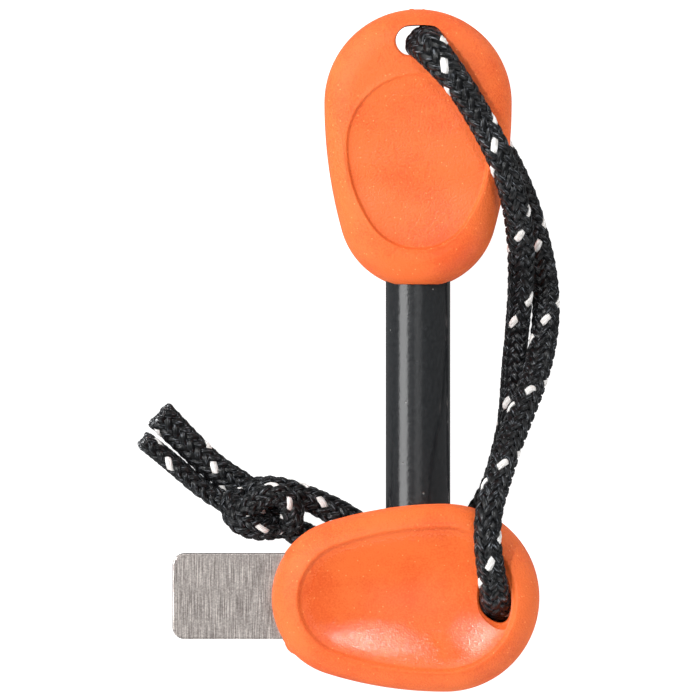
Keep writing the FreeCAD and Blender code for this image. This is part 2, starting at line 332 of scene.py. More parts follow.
@dataclass(frozen=True)
class BrushedSteel(Finish):
    """Stainless strip, belt-brushed across the blade.

    To the eye: a warm mid grey with fine bright and dark lines running across the blade, broken up by a
    fine grit as worn belts leave them. Real brush lines are finer than a tenth of a millimetre, so these
    are drawn wider to show.
    """

    steel: Stops = ((0.5, "#7b7470"), (0.65, "#aba39f"), (0.8, "#e9e1db"))
    line_mm: float = 0.11
    line_ratio: float = 0.022
    grit_mm: float = 0.22
    grit_share: float = 0.3
    roughness_span: Span = (0.42, 0.3)
    bump_mm: float = 0.03

    def dress(self, tree: bpy.types.NodeTree) -> Inputs:
        """Add brush lines in colour, roughness and height.

        Args:
            tree: the material's node tree.

        Returns:
            The inputs of its shader.
        """
        place = add_node(tree, "TexCoord").outputs["Object"]
        # Long in Y and narrow in X: the lines run across the blade.
        stretched = add_node(tree, "Mapping", {"Vector": place, "Scale": (1.0, self.line_ratio, 1.0)})
        brush = {"Scale": per_mm(self.line_mm), "Detail": 4.0, "Roughness": 0.65}
        lines = add_node(tree, "TexNoise", {"Vector": stretched.outputs[0], **brush}).outputs["Fac"]
        grit = add_node(tree, "TexNoise", {"Vector": place, "Scale": per_mm(self.grit_mm), "Detail": 2.0})
        parts = {0: grit.outputs["Fac"], 1: self.grit_share, 2: lines}
        broken = add_node(tree, "Math", parts, operation="MULTIPLY_ADD")
        base = add_node(tree, "ValToRGB", {"Fac": broken.outputs[0]}, self.steel)
        low, high = self.roughness_span
        uneven = {"From Min": 0.3, "From Max": 0.7, "To Min": low, "To Max": high}
        rough = add_node(tree, "MapRange", {"Value": lines, **uneven})
        relief = {"Height": lines, "Strength": 0.3, "Distance": self.bump_mm * MM}
        return {
            "Base Color": base.outputs["Color"],
            "Metallic": 1.0,
            "Roughness": rough.outputs["Result"],
            "Normal": add_node(tree, "Bump", relief).outputs["Normal"],
        }


@dataclass(frozen=True)
class BraidYarn(Finish):
    """Multifilament polyester yarn of the braid, read along the yarn from its own map.

    To the eye: each plump yarn shows fine filaments along it with a silky sheen, partly from the shader's
    sheen and partly painted, as the brightest filaments take a pale colour as painted glints. Real filaments
    are ten times finer than the few that are drawn round the yarn.
    """

    dark: str = "#030405"
    light: str = "#0f1114"
    # The palest colour is painted on the brightest filaments as glints of light.
    painted_glint: str = "#757a81"
    roughness: float = 0.3
    shine: float = 0.22
    sheen: float = 0.03
    filaments: float = 14.0
    filament_waves: float = 0.8
    bump_mm: float = 0.16

    def dress(self, tree: bpy.types.NodeTree) -> Inputs:
        """Add filaments along the yarn, the brightest of them with painted glints.

        Args:
            tree: the material's node tree.

        Returns:
            The inputs of its shader.
        """
        along = add_node(tree, "UVMap", uv_map="yarn").outputs["UV"]
        # U is millimetres along the yarn and V is the share of the way round it.
        scale = (self.filament_waves, self.filaments, 1.0)
        stretched = add_node(tree, "Mapping", {"Vector": along, "Scale": scale})
        drawn = {"Vector": stretched.outputs[0], "Scale": 1.0, "Detail": 2.0}
        lines = add_node(tree, "TexNoise", drawn, noise_dimensions="2D").outputs["Fac"]
        # The top stop paints glints: a pale colour on the brightest filaments stands in for the light they
        # catch.
        stops = ((0.4, self.dark), (0.62, self.light), (0.77, self.painted_glint))
        base = add_node(tree, "ValToRGB", {"Fac": lines}, stops)
        relief = {"Height": lines, "Strength": 0.8, "Distance": self.bump_mm * MM}
        return {
            "Base Color": base.outputs["Color"],
            "Roughness": self.roughness,
            "IOR": 1.57,
            "Specular IOR Level": self.shine,
            "Sheen Weight": self.sheen,
            "Sheen Roughness": 0.4,
            "Normal": add_node(tree, "Bump", relief).outputs["Normal"],
        }


@dataclass(frozen=True)
class MeltedEnd(Finish):
    """Polyester fused by a hot knife: hard, glossy black beads, with pale spots painted on them as glints."""

    # Black beads, with pale stops that paint glints of light on them.
    black_and_painted_glints: Stops = ((0.56, "#1b1c1f"), (0.63, "#7f8285"), (0.7, "#d6d8da"))
    bead_mm: float = 0.35
    bump_mm: float = 0.2

    def dress(self, tree: bpy.types.NodeTree) -> Inputs:
        """Add small glossy beads with painted glints.

        Args:
            tree: the material's node tree.

        Returns:
            The inputs of its shader.
        """
        place = add_node(tree, "TexCoord").outputs["Object"]
        beads = add_node(tree, "TexNoise", {"Vector": place, "Scale": per_mm(self.bead_mm), "Detail": 2.0})
        relief = {"Height": beads.outputs["Fac"], "Strength": 0.9, "Distance": self.bump_mm * MM}
        normal = add_node(tree, "Bump", relief).outputs["Normal"]
        # The pale stops paint glints where the beads would catch the light.
        base = add_node(tree, "ValToRGB", {"Fac": beads.outputs["Fac"]}, self.black_and_painted_glints)
        return {"Base Color": base.outputs["Color"], "Roughness": 0.16, "IOR": 1.57, "Normal": normal}


@dataclass(frozen=True)
class PaleSweep(Finish):
    """White studio table, lit from below as product tables are."""

    surface: str = "#8c8c8c"
    glow: str = "#ffffff"
    strength: float = 0.97

    def dress(self, tree: bpy.types.NodeTree) -> Inputs:
        """Return the plain white of the table."""
        glow = {"Emission Color": linear(self.glow), "Emission Strength": self.strength}
        return {"Base Color": linear(self.surface), "Roughness": 0.9, **glow}


GRIP = MouldedElastomer("moulded_elastomer_orange")
NYLON = MouldedNylon("moulded_nylon_black")
ROD_PAINT = PaintedRod("painted_ferrocerium")
STEEL = BrushedSteel("brushed_stainless_strip")
YARN = BraidYarn("braided_polyester_black")
# Its white top stop paints glints on the tracer, as on the black yarn.
TRACER = BraidYarn(
    "tracer_yarn_off_white", dark="#cfccc8", light="#f0efee", painted_glint="#ffffff", roughness=0.6, sheen=0.1
)
MELT = MeltedEnd("hot_cut_polyester")
TABLE = PaleSweep("white_table")


# Shapes


def new_object(name: str, data: bpy.types.ID) -> bpy.types.Object:
    """Put a mesh, a line, a light or a camera in the scene as an object at the origin.

    Args:
        name: the object's name.
        data: what it shows.

    Returns:
        The object.
    """
    made = bpy.data.objects.new(name, data)
    bpy.context.scene.collection.objects.link(made)
    return made


def mesh_from(name: str, bm: bmesh.types.BMesh, metres: float = MM) -> bpy.types.Mesh:
    """Scale a bmesh, turn it into a mesh and free it.

    Args:
        name: the mesh's name.
        bm: the bmesh, in millimetres unless metres says otherwise.
        metres: how many of the mesh's units one unit of the bmesh is.

    Returns:
        The mesh.
    """
    bmesh.ops.scale(bm, vec=(metres,) * 3, verts=bm.verts)
    mesh = bpy.data.meshes.new(name)
    bm.to_mesh(mesh)
    bm.free()
    return mesh


def evaluated_mesh(made: bpy.types.Object) -> bpy.types.Mesh:
    """Copy an object's mesh or line with its modifiers applied.

    Args:
        made: the object.

    Returns:
        The new mesh.
    """
    bpy.context.view_layer.update()
    graph = bpy.context.evaluated_depsgraph_get()
    return bpy.data.meshes.new_from_object(made.evaluated_get(graph))


def dress_solid(solid: bpy.types.Object, finish: Finish) -> None:
    """Give an object one finish in place of those it has.

    Args:
        solid: the object.
        finish: its finish.
    """
    solid.data.materials.clear()
    solid.data.materials.append(finish.material())


def roll_grid(bm: bmesh.types.BMesh, rings: np.ndarray, material: int = 0) -> None:
    """Roll a grid up into a tube whose rings are given. weld() closes its seam and ends.

    Args:
        bm: the bmesh to build in.
        rings: points as rings by places round a ring by three.
        material: the material number of its faces.
    """
    rows, count = rings.shape[:2]
    made = bmesh.ops.create_grid(bm, x_segments=count, y_segments=rows - 1, size=1.0, calc_uvs=True)["verts"]
    places = np.array([v.co for v in made])
    column = np.rint((places[:, 0] + 1) / 2 * count).astype(int) % count
    row = np.rint((places[:, 1] + 1) / 2 * (rows - 1)).astype(int)
    for vert, place in zip(made, rings[row, column]):
        vert.co = place
    for face in {f for v in made for f in v.link_faces}:
        face.material_index = material
        face.smooth = True


def weld(bm: bmesh.types.BMesh, gap: float = 1e-5) -> None:
    """Close the seams and the open ends of rolled grids, and turn every face outwards.

    Args:
        bm: the bmesh that holds them.
        gap: how far apart two points of a seam may be.
    """
    rims = [v for v in bm.verts if v.is_boundary]
    bmesh.ops.remove_doubles(bm, verts=rims, dist=gap)
    bmesh.ops.holes_fill(bm, edges=[e for e in bm.edges if e.is_boundary], sides=0)
    bmesh.ops.recalc_face_normals(bm, faces=bm.faces)


def unit(vectors: np.ndarray) -> np.ndarray:
    """Return vectors of length one, along the last axis."""
    return vectors / np.linalg.norm(vectors, axis=-1, keepdims=True)


def run_along(points: np.ndarray) -> np.ndarray:
    """Return the length of a line of points up to each of them."""
    return np.concatenate([[0.0], np.cumsum(np.linalg.norm(np.diff(points, axis=0), axis=1))])


def ease(share: np.ndarray | float) -> np.ndarray | float:
    """Return an S-shaped rise from 0 to 1."""
    return share * share * (3 - 2 * share)


def ring_at(points: np.ndarray, height: np.ndarray | float) -> np.ndarray:
    """Return a ring of points by X and Y, lifted to one height or to a height each."""
    return np.column_stack([points, np.broadcast_to(height, len(points))])


def sweep(
    line: np.ndarray, out: np.ndarray, half_width: np.ndarray, half_height: np.ndarray, sides: int
) -> np.ndarray:
    """Sweep an oval section along a line.

    Args:
        line: the points of the line.
        out: the direction of the section's short axis at each.
        half_width: half the section's width at each.
        half_height: half its height at each.
        sides: how many points a ring has.

    Returns:
        Rings for roll_grid().
    """
    ahead = unit(np.gradient(line, axis=0))
    side = unit(np.cross(ahead, out))
    out = np.cross(side, ahead)
    round_it = np.arange(sides) / sides * math.tau
    ring = side[:, None] * (np.sin(round_it)[None, :, None] * half_width[:, None, None])
    ring += out[:, None] * (np.cos(round_it)[None, :, None] * half_height[:, None, None])
    return line[:, None] + ring


@dataclass(frozen=True)
class Egg:
    """Egg outline of four tangent arcs: its wide end touches the origin and its nose points along -Y.

    The fine count is of the places that it is measured at, and the rim count of those that stand for it.
    """

    length: float
    width: float
    nose_radius: float
    shift: Span = (0.0, 0.0)
    fine_count: int = 4001
    rim_count: int = 720

    def outline(self, inset: float, angles: np.ndarray) -> np.ndarray:
        """Return the outline's points for outward directions.

        Args:
            inset: how far inside the outline, in millimetres.
            angles: directions of the outline's normal, from -pi to pi.

        Returns:
            An array of points by X and Y.
        """
        wide = self.width / 2
        rise = self.length - self.nose_radius - wide
        side = (wide**2 - self.nose_radius**2 + rise**2) / (2 * (wide - self.nose_radius))
        turn = math.atan2(rise, side - wide)
        mirror = np.where(np.abs(angles) > math.pi / 2, -1.0, 1.0)
        folded = np.where(mirror > 0, angles, np.sign(angles) * math.pi - angles)
        at_side = (folded < 0) & (folded >= -turn)
        at_nose = folded < -turn
        centre_x = np.where(at_side, wide - side, 0.0) * mirror
        centre_y = np.where(at_nose, self.nose_radius - self.length, -wide)
        radius = np.where(at_nose, self.nose_radius, np.where(at_side, side, wide)) - inset
        x = centre_x + radius * np.cos(angles) + self.shift[0]
        y = centre_y + radius * np.sin(angles) + self.shift[1]
        return np.stack([x, y], axis=1)

    def spread(self, count: int, *others: "Egg") -> np.ndarray:
        """Find directions whose points are well spread along this outline and others at once.

        Args:
            count: how many directions.
            others: the other outlines.

        Returns:
            The directions, for outline().
        """
        angles = np.linspace(-math.pi, math.pi, self.fine_count)
        along = np.zeros(len(angles))
        for egg in (self, *others):
            steps = np.linalg.norm(np.diff(egg.outline(0.0, angles), axis=0), axis=1)
            along[1:] += np.cumsum(steps) / steps.sum()
        return np.interp(np.arange(count) / count * along[-1], along, angles)

    def rim(self) -> np.ndarray:
        """Return the whole outline as closely set points."""
        return self.outline(0.0, self.spread(self.rim_count))

    def middle(self) -> np.ndarray:
        """Return the point halfway along the outline."""
        return np.array([self.shift[0], self.shift[1] - self.length / 2])

    def depth(self, points: np.ndarray) -> np.ndarray:
        """Return how far each of some points lies inside the outline."""
        return np.linalg.norm(points[:, None] - self.rim(), axis=2).min(axis=1)


@dataclass(frozen=True)
class Eye:
    """A lanyard eye through a handle, its long side across it, flared into both faces.

    Its point is 0 for a slot with round ends and 1 for an ellipse, and blunt sets how far the ends' arcs
    reach. Its lean draws the end along +X sideways. The flare is widest towards flare_turn and loses the
    share flare_bias opposite. The cutter goes past each face, past_down high and past_across wider.
    """

    inset: float
    across: float
    along: float
    face_z: float
    flare: float
    shift: float = 0.0
    point: float = 0.0
    lean: float = 0.0
    flare_turn: float = 0.0
    flare_bias: float = 0.0
    back_flare: float = 0.5
    flare_sweep: float = 78.0
    flare_steps: int = 9
    past_across: float = 0.7
    past_down: float = 1.2
    blunt: float = 3.0
    count: int = 64

    def ring(self, grow: float, height: float) -> np.ndarray:
        """Return one ring of the eye's cutter.

        Args:
            grow: how far it is offset outwards.
            height: its height.

        Returns:
            The ring's points.
        """
        turns = np.arange(self.count) / self.count * math.tau
        bias = 0.5 - 0.5 * np.cos(turns - math.radians(self.flare_turn))
        wide = grow * (1 - self.flare_bias * bias)
        straight = (self.across - self.along) / 2
        slot = np.clip(np.cos(turns) * self.blunt, -1, 1) * straight + self.along / 2 * np.cos(turns)
        x = slot + (self.across / 2 * np.cos(turns) - slot) * self.point
        drawn = self.lean * np.clip(2 * x / self.across, 0, None) ** 2
        y = (self.along / 2 + wide) * np.sin(turns) + drawn
        return ring_at(np.stack([x + wide * np.cos(turns) + self.shift, y - self.inset], axis=1), height)

    def rings(self, back_z: float) -> np.ndarray:
        """Return the rings of the eye's cutter, which reaches past both faces.

        Args:
            back_z: the height of the handle's back at the eye.

        Returns:
            Rings for roll_grid().
        """
        rings = []
        for flare, face_z, way in ((self.back_flare, back_z, -1), (self.flare, self.face_z, 1)):
            ends = [self.ring(flare + self.past_across, face_z + way * self.past_down)]
            for share in np.linspace(1.0, 0.0, self.flare_steps):
                lean = math.radians(self.flare_sweep) * share
                fall = flare * (1 - math.sin(lean))
                ends.append(self.ring(flare * (1 - math.cos(lean)), face_z - way * fall))
            rings += ends if way < 0 else ends[::-1]
        return np.array(rings)


class Turn(Enum):
    """How a handle lies on the table, as degrees about Z."""

    ALONG_Y = 0.0
    ALONG_X = -90.0


@dataclass(frozen=True)
class Nub:
    """A small round mark that the mould leaves on a handle's outline."""

    direction: float
    radius: float
    proud: float
    subdivisions: int = 3


@dataclass
class Handle:
    """A moulded pebble grip with a dish and an eye. It is built nose along -Y, wide end at the origin.

    Its edges fall edge_down within edge_across of the outline. The dish has a raised lip, a wall and a
    hollow floor, and its wall fades towards dish_fade_turn. The back's span and the floor's shares say how
    far out from the middle their rings lie, and the lip's shares how far over the lip its rings are.
    """

    name: str
    body: str
    node: str
    egg: Egg
    dish: Egg
    eye: Eye
    thickness: float
    place: Point
    turn: Turn
    dish_depth: float
    dish_hollow: float
    dish_wall: float
    nubs: tuple[Nub, ...]
    dish_fade: float = 0.0
    dish_fade_turn: float = 0.0
    wall_outside: float = 0.35
    lip_across: float = 0.45
    lip_height: float = 0.1
    bowl: float = 2.4
    edge_across: float = 4.4
    edge_down: float = 5.2
    edge_fullness: float = 2.05
    shoulder_across: float = 2.4
    seam_height: float = 0.12
    seam_top: float = 0.12
    seam_foot: float = 0.22
    segments: int = 200
    edge_steps: int = 17
    shoulder_steps: int = 12
    wall_steps: int = 9
    back_steps: int = 12
    back_span: Span = (0.04, 0.92)
    lip_shares: Shares = (0.3, 0.6, 0.85)
    floor_shares: Shares = (0.97, 0.93, 0.88, 0.82, 0.75, 0.67, 0.58, 0.49, 0.4, 0.31, 0.22, 0.13, 0.05)
    rubbing: float = 1.0
    rub_fade: float = 0.16
    sharp_angle: float = 42.0

    def lift(self, y: np.ndarray) -> np.ndarray:
        """Return how far the back stands off the table at each Y."""
        return np.zeros_like(y)

    def shoulder(self, inset: np.ndarray | float) -> np.ndarray | float:
        """Return how far a face has fallen at a distance inside the outline."""
        left = np.clip(1 - inset / self.edge_across, 0.0, 1.0)
        return self.edge_down * (1 - (1 - left**self.edge_fullness) ** (1 / self.edge_fullness))

    def back_rings(self, angles: np.ndarray) -> list[np.ndarray]:
        """Make the rings from the middle of the back, round its edge, over the parting line.

        Args:
            angles: directions for the outlines.

        Returns:
            The rings.
        """
        flat = self.egg.outline(self.edge_across, angles)
        middle = self.egg.middle()
        shares = np.linspace(*self.back_span, self.back_steps)
        rings = [ring_at(middle + (flat - middle) * share, 0.0) for share in shares]
        for inset in self.edge_across * np.cos(np.linspace(0.0, math.pi / 2, self.edge_steps)):
            rings.append(ring_at(self.egg.outline(inset, angles), self.shoulder(inset)))
        foot = (self.seam_foot, 0.0)
        top = (self.seam_top, self.seam_height)
        for way, (step, proud) in ((-1, foot), (-1, top), (1, top), (1, foot)):
            rings.append(ring_at(self.egg.outline(-proud, angles), self.thickness / 2 + way * step))
        return rings

    def top_rings(self, angles: np.ndarray, lip: np.ndarray) -> list[np.ndarray]:
        """Make the rings from the parting line over the shoulder to the foot of the dish's lip.

        Args:
            angles: directions for the outlines.
            lip: the foot of the lip.

        Returns:
            The rings.
        """
        rings = []
        for turn in np.linspace(0.0, math.pi / 2, self.edge_steps)[:-1]:
            inset = self.shoulder_across * (1 - math.cos(turn))
            rings.append(ring_at(self.egg.outline(inset, angles), self.thickness - self.shoulder(inset)))
        inner = self.egg.outline(self.shoulder_across, angles)
        for share in np.linspace(0.0, 1.0, self.shoulder_steps):
            points = inner + (lip - inner) * share
            rings.append(ring_at(points, self.thickness - self.shoulder(self.egg.depth(points))))
        return rings

    def dish_rings(self, angles: np.ndarray, lip: np.ndarray) -> list[np.ndarray]:
        """Make the rings from the dish's lip, down its wall, to the middle of its floor.

        Args:
            angles: directions for the outlines.
            lip: the foot of the lip.

        Returns:
            The rings.
        """
        lip_z = self.thickness - self.shoulder(self.egg.depth(lip))
        rings = []
        for share in self.lip_shares:
            outset = self.dish_wall * self.wall_outside + self.lip_across * (1 - share)
            bead_z = lip_z + self.lip_height * math.sin(share * math.pi / 2)
            rings.append(ring_at(self.dish.outline(-outset, angles), bead_z))
        lip_z = lip_z + self.lip_height
        fade = 1 - self.dish_fade * (0.5 + 0.5 * np.cos(angles - math.radians(self.dish_fade_turn)))
        for share in np.linspace(0.0, 1.0, self.wall_steps):
            wall = self.dish.outline(self.dish_wall * (share - self.wall_outside), angles)
            rings.append(ring_at(wall, lip_z - self.dish_depth * ease(share) * fade))
        floor = self.dish.outline(self.dish_wall * (1 - self.wall_outside), angles)
        middle = self.dish.middle()
        foot_z = lip_z - self.dish_depth * fade
        deepest = self.thickness - self.dish_depth - self.dish_hollow
        for share in self.floor_shares:
            floor_z = deepest + (foot_z - deepest) * share**self.bowl
            rings.append(ring_at(middle + (floor - middle) * share, floor_z))
        return rings

    def rings(self) -> np.ndarray:
        """Make the pebble's rings from the middle of its back, round its edge, to the middle of its dish.

        Returns:
            Rings for roll_grid().
        """
        angles = self.egg.spread(self.segments, self.dish)
        lip = self.dish.outline(-self.dish_wall * self.wall_outside - self.lip_across, angles)
        rings = self.back_rings(angles) + self.top_rings(angles, lip) + self.dish_rings(angles, lip)
        stack = np.array(rings)
        rise = self.lift(stack[..., 1])
        stack[..., 2] = rise + stack[..., 2] * (self.thickness - rise) / self.thickness
        return stack

    def cutters(self) -> list[bpy.types.Object]:
        """Make the closed shapes that are cut away: the eye.

        Returns:
            The cutters.
        """
        bm = bmesh.new()
        back_z = float(self.lift(np.array([-self.eye.inset]))[0])
        roll_grid(bm, self.eye.rings(back_z))
        weld(bm)
        return [new_object(self.name + "_eye", mesh_from(self.name + "_eye", bm, 1.0))]

    def cut_pebble(self) -> bpy.types.Mesh:
        """Make the pebble and cut the cutters away.

        Returns:
            Its mesh, in millimetres.
        """
        bm = bmesh.new()
        roll_grid(bm, self.rings())
        weld(bm)
        pebble = new_object(self.name, mesh_from(self.name, bm, 1.0))
        cutters = self.cutters()
        for cutter in cutters:
            cut = pebble.modifiers.new(cutter.name, "BOOLEAN")
            cut.operation = "DIFFERENCE"
            cut.solver = "EXACT"
            cut.object = cutter
        mesh = evaluated_mesh(pebble)
        for done in (pebble, *cutters):
            bpy.data.objects.remove(done)
        return mesh

    def add_nubs(self, bm: bmesh.types.BMesh) -> None:
        """Add the small marks that the mould leaves on the outline, sunk for the most part in the grip.

        Args:
            bm: the grip's bmesh.
        """
        for nub in self.nubs:
            spot = self.egg.outline(nub.radius - nub.proud, np.radians([nub.direction]))[0]
            made = bmesh.ops.create_icosphere(bm, subdivisions=nub.subdivisions, radius=nub.radius)["verts"]
            bmesh.ops.translate(bm, vec=(*spot, self.thickness / 2), verts=made)

    def rubbed(self, points: np.ndarray) -> np.ndarray:
        """Return how far thumbs have polished the grip.

        Args:
            points: points on it.

        Returns:
            A share from 0 to 1 for each of them.
        """
        rim = self.dish.rim() - self.dish.middle()
        away = points[:, :2] - self.dish.middle()
        turn = np.arctan2(away[:, 1], away[:, 0])
        rim_turn = np.arctan2(rim[:, 1], rim[:, 0])
        reach = np.interp(turn, rim_turn, np.linalg.norm(rim, axis=1), period=math.tau)
        inside = np.clip((1 - np.linalg.norm(away, axis=1) / reach) / self.rub_fade, 0.0, 1.0)
        return inside * (points[:, 2] > self.thickness / 2) * self.rubbing

    def build(self) -> bpy.types.Object:
        """Build the grip, dress it and put it in place of its CAD node.

        Returns:
            The grip.
        """
        bm = bmesh.new()
        bm.from_mesh(self.cut_pebble())
        self.add_nubs(bm)
        layer = bm.verts.layers.float.new("rubbed")
        for vert, share in zip(bm.verts, self.rubbed(np.array([v.co for v in bm.verts]))):
            vert[layer] = share
        turned = Matrix.Rotation(math.radians(self.turn.value), 3, "Z")
        bmesh.ops.rotate(bm, matrix=turned, verts=bm.verts)
        bmesh.ops.translate(bm, vec=self.place, verts=bm.verts)
        grip = new_object(self.name, mesh_from(self.name, bm))
        dress_solid(grip, GRIP)
        grip.data.shade_smooth()
        grip.data.set_sharp_from_angle(angle=math.radians(self.sharp_angle))
        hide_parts(self.node)
        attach(grip, self.body)
        return grip


@dataclass
class RodHandle(Handle):
    """The rod's handle: thinned under its lanyard end, cut square where the rod leaves its nose."""

    nose_y: float = -40.3
    rod_z: float = 8.05
    rod_radius: float = 4.76
    rod_seat: float = 12.5
    socket_sides: int = 96
    relief_start: float = -27.5
    relief_end: float = -22.0
    relief_height: float = 4.6

    def lift(self, y: np.ndarray) -> np.ndarray:
        """Return the S-shaped step of the back, up under the lanyard end, at each Y."""
        share = (y - self.relief_start) / (self.relief_end - self.relief_start)
        return self.relief_height * ease(np.clip(share, 0.0, 1.0))

    def rings(self) -> np.ndarray:
        """Make the pebble's rings with the nose cut square.

        Returns:
            Rings for roll_grid().
        """
        stack = super().rings()
        stack[..., 1] = np.maximum(stack[..., 1], self.nose_y)
        return stack

    def cutters(self) -> list[bpy.types.Object]:
        """Make the eye's cutter and the rod's socket.

        Returns:
            The cutters.
        """
        bm = bmesh.new()
        bmesh.ops.create_cone(
            bm,
            cap_ends=True,
            segments=self.socket_sides,
            radius1=self.rod_radius,
            radius2=self.rod_radius,
            depth=2 * self.rod_seat,
            matrix=Matrix.Translation((0, self.nose_y, self.rod_z)) @ Matrix.Rotation(math.pi / 2, 4, "X"),
        )
        name = self.name + "_socket"
        return [*super().cutters(), new_object(name, mesh_from(name, bm, 1.0))]


@dataclass
class FerroRod:
    """The painted rod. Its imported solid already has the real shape, so it only takes its finish."""

    node: str = "ferro_rod"
    sharp_angle: float = 30.0

    def build(self, frame: dict) -> bpy.types.Object:
        """Dress the rod's CAD node.

        Args:
            frame: the loaded frame.

        Returns:
            The rod.
        """
        rod = frame["nodes"][self.node]
        dress_solid(rod, ROD_PAINT)
        rod.data.shade_smooth()
        rod.data.set_sharp_from_angle(angle=math.radians(self.sharp_angle))
        return rod


@dataclass
class HandleCores:
    """The hard cores inside the grips, out of sight."""

    nodes: tuple[str, ...] = ("rod_handle_core", "striker_handle_core")

    def build(self, frame: dict) -> list[bpy.types.Object]:
        """Dress the cores' CAD nodes.

        Args:
            frame: the loaded frame.

        Returns:
            The cores.
        """
        cores = [frame["nodes"][node] for node in self.nodes]
        for core in cores:
            dress_solid(core, NYLON)
        return cores


@dataclass
class StrikerBlade:
    """Brushed strip with rounded corners, its long edges broken so that they catch the light."""

    tip_x: float = -26.825
    end_x: float = -6.0
    axis_y: float = -36.05
    mid_z: float = 18.7
    width: float = 12.6
    thickness: float = 2.0
    corner: float = 1.8
    corner_steps: int = 10
    tang_end_x: float = 9.7
    tang_width: float = 10.0
    tang_lap: float = 0.5
    edge: float = 0.22
    edge_steps: int = 3
    edge_angle: float = 60.0
    small_face: float = 2.0

    def add_plate(self, bm: bmesh.types.BMesh, start: float, end: float, width: float) -> None:
        """Add a flat plate with rounded corners.

        Args:
            bm: the blade's bmesh.
            start: the X that it starts at.
            end: the X that it ends at.
            width: its width.
        """
        fresh = bmesh.ops.create_cube(bm, size=1.0)["verts"]
        bmesh.ops.scale(bm, vec=(end - start, width, self.thickness), verts=fresh)
        edges = [e for e in bm.edges if e.verts[0] in fresh]
        upright = [e for e in edges if abs(e.verts[0].co.z - e.verts[1].co.z) > self.thickness / 2]
        rounded = bmesh.ops.bevel(
            bm,
            geom=upright,
            offset=self.corner,
            offset_type="OFFSET",
            affect="EDGES",
            segments=self.corner_steps,
            profile=0.5,
            material=-1,
        )
        solid = {v for f in rounded["faces"] for v in f.verts} | {v for v in fresh if v.is_valid}
        bmesh.ops.translate(bm, vec=((start + end) / 2, self.axis_y, self.mid_z), verts=list(solid))

    def build(self) -> bpy.types.Object:
        """Build the blade and its tang, dress them and put them in place of their CAD node.

        Returns:
            The blade.
        """
        bm = bmesh.new()
        self.add_plate(bm, self.tip_x, self.end_x, self.width)
        self.add_plate(bm, self.end_x - self.tang_lap, self.tang_end_x, self.tang_width)
        rims = [e for e in bm.edges if e.calc_face_angle(0.0) > math.radians(self.edge_angle)]
        bmesh.ops.bevel(
            bm,
            geom=rims,
            offset=self.edge,
            offset_type="OFFSET",
            affect="EDGES",
            segments=self.edge_steps,
            profile=0.5,
            material=-1,
        )
        for face in bm.faces:
            face.smooth = face.calc_area() < self.small_face
        # The bevel leaves its flat faces in an order that changes from run to run.
        settled = sorted(bm.faces, key=lambda f: f.calc_center_median().to_tuple(4))
        bm.faces.sort(key={face: rank for rank, face in enumerate(settled)}.get)
        blade = new_object("blade", mesh_from("blade", bm))
        blade.data.materials.append(STEEL.material())
        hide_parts("striker_blade")
        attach(blade, "striker")
        return blade


# The lanyard's two routes, point by point as they lie, both from the rod handle's eye. The back one runs
# under the handle, down on the right, over the striker's rim and through its eye, and through the knot
# to the lower tail. The front one runs down the handle's face and on the left, under the striker, and
# through the knot to the upper tail.
BACK_ROUTE: tuple[Point, ...] = (
    (0.0101, 0.0456, 0.0104),
    (0.0101, 0.0455, 0.00515),
    (0.0119, 0.0427, 0.0018),
    (0.0149, 0.0391, 0.0016),
    (0.0184, 0.0342, 0.0016),
    (0.0218, 0.0289, 0.0016),
    (0.0245, 0.0233, 0.0016),
    (0.0263, 0.0176, 0.0016),
    (0.0277, 0.0118, 0.0016),
    (0.0282, 0.0060, 0.0016),
    (0.0276, 0.0003, 0.0032),
    (0.0261, -0.0049, 0.0070),
    (0.0242, -0.0096, 0.0124),
    (0.0223, -0.0143, 0.0182),
    (0.0208, -0.0190, 0.0232),
    (0.0194, -0.0236, 0.0262),
    (0.0192, -0.0281, 0.0266),
    (0.0200, -0.0336, 0.0249),
    (0.0206, -0.0374, 0.0229),
    (0.0207, -0.0386, 0.0162),
    (0.0203, -0.0376, 0.0105),
    (0.0170, -0.0362, 0.00485),
    (0.0115, -0.0356, 0.0016),
    (0.0063, -0.0341, 0.0016),
    (0.0011, -0.0315, 0.0019),
    (-0.0047, -0.0285, 0.0021),
    (-0.0084, -0.0270, 0.0026),
    (-0.0116, -0.0250, 0.0034),
    (-0.0142, -0.0230, 0.0034),
    (-0.0166, -0.0218, 0.0032),
    (-0.0184, -0.0221, 0.0044),
    (-0.0179, -0.0247, 0.0063),
    (-0.0156, -0.0262, 0.0066),
    (-0.0118, -0.0264, 0.0050),
    (-0.0114, -0.0241, 0.0018),
    (-0.0146, -0.0229, 0.0016),
    (-0.0173, -0.0231, 0.0020),
    (-0.0196, -0.0222, 0.0022),
    (-0.0232, -0.0200, 0.0022),
    (-0.0271, -0.0165, 0.0022),
    (-0.0310, -0.0134, 0.0022),
)
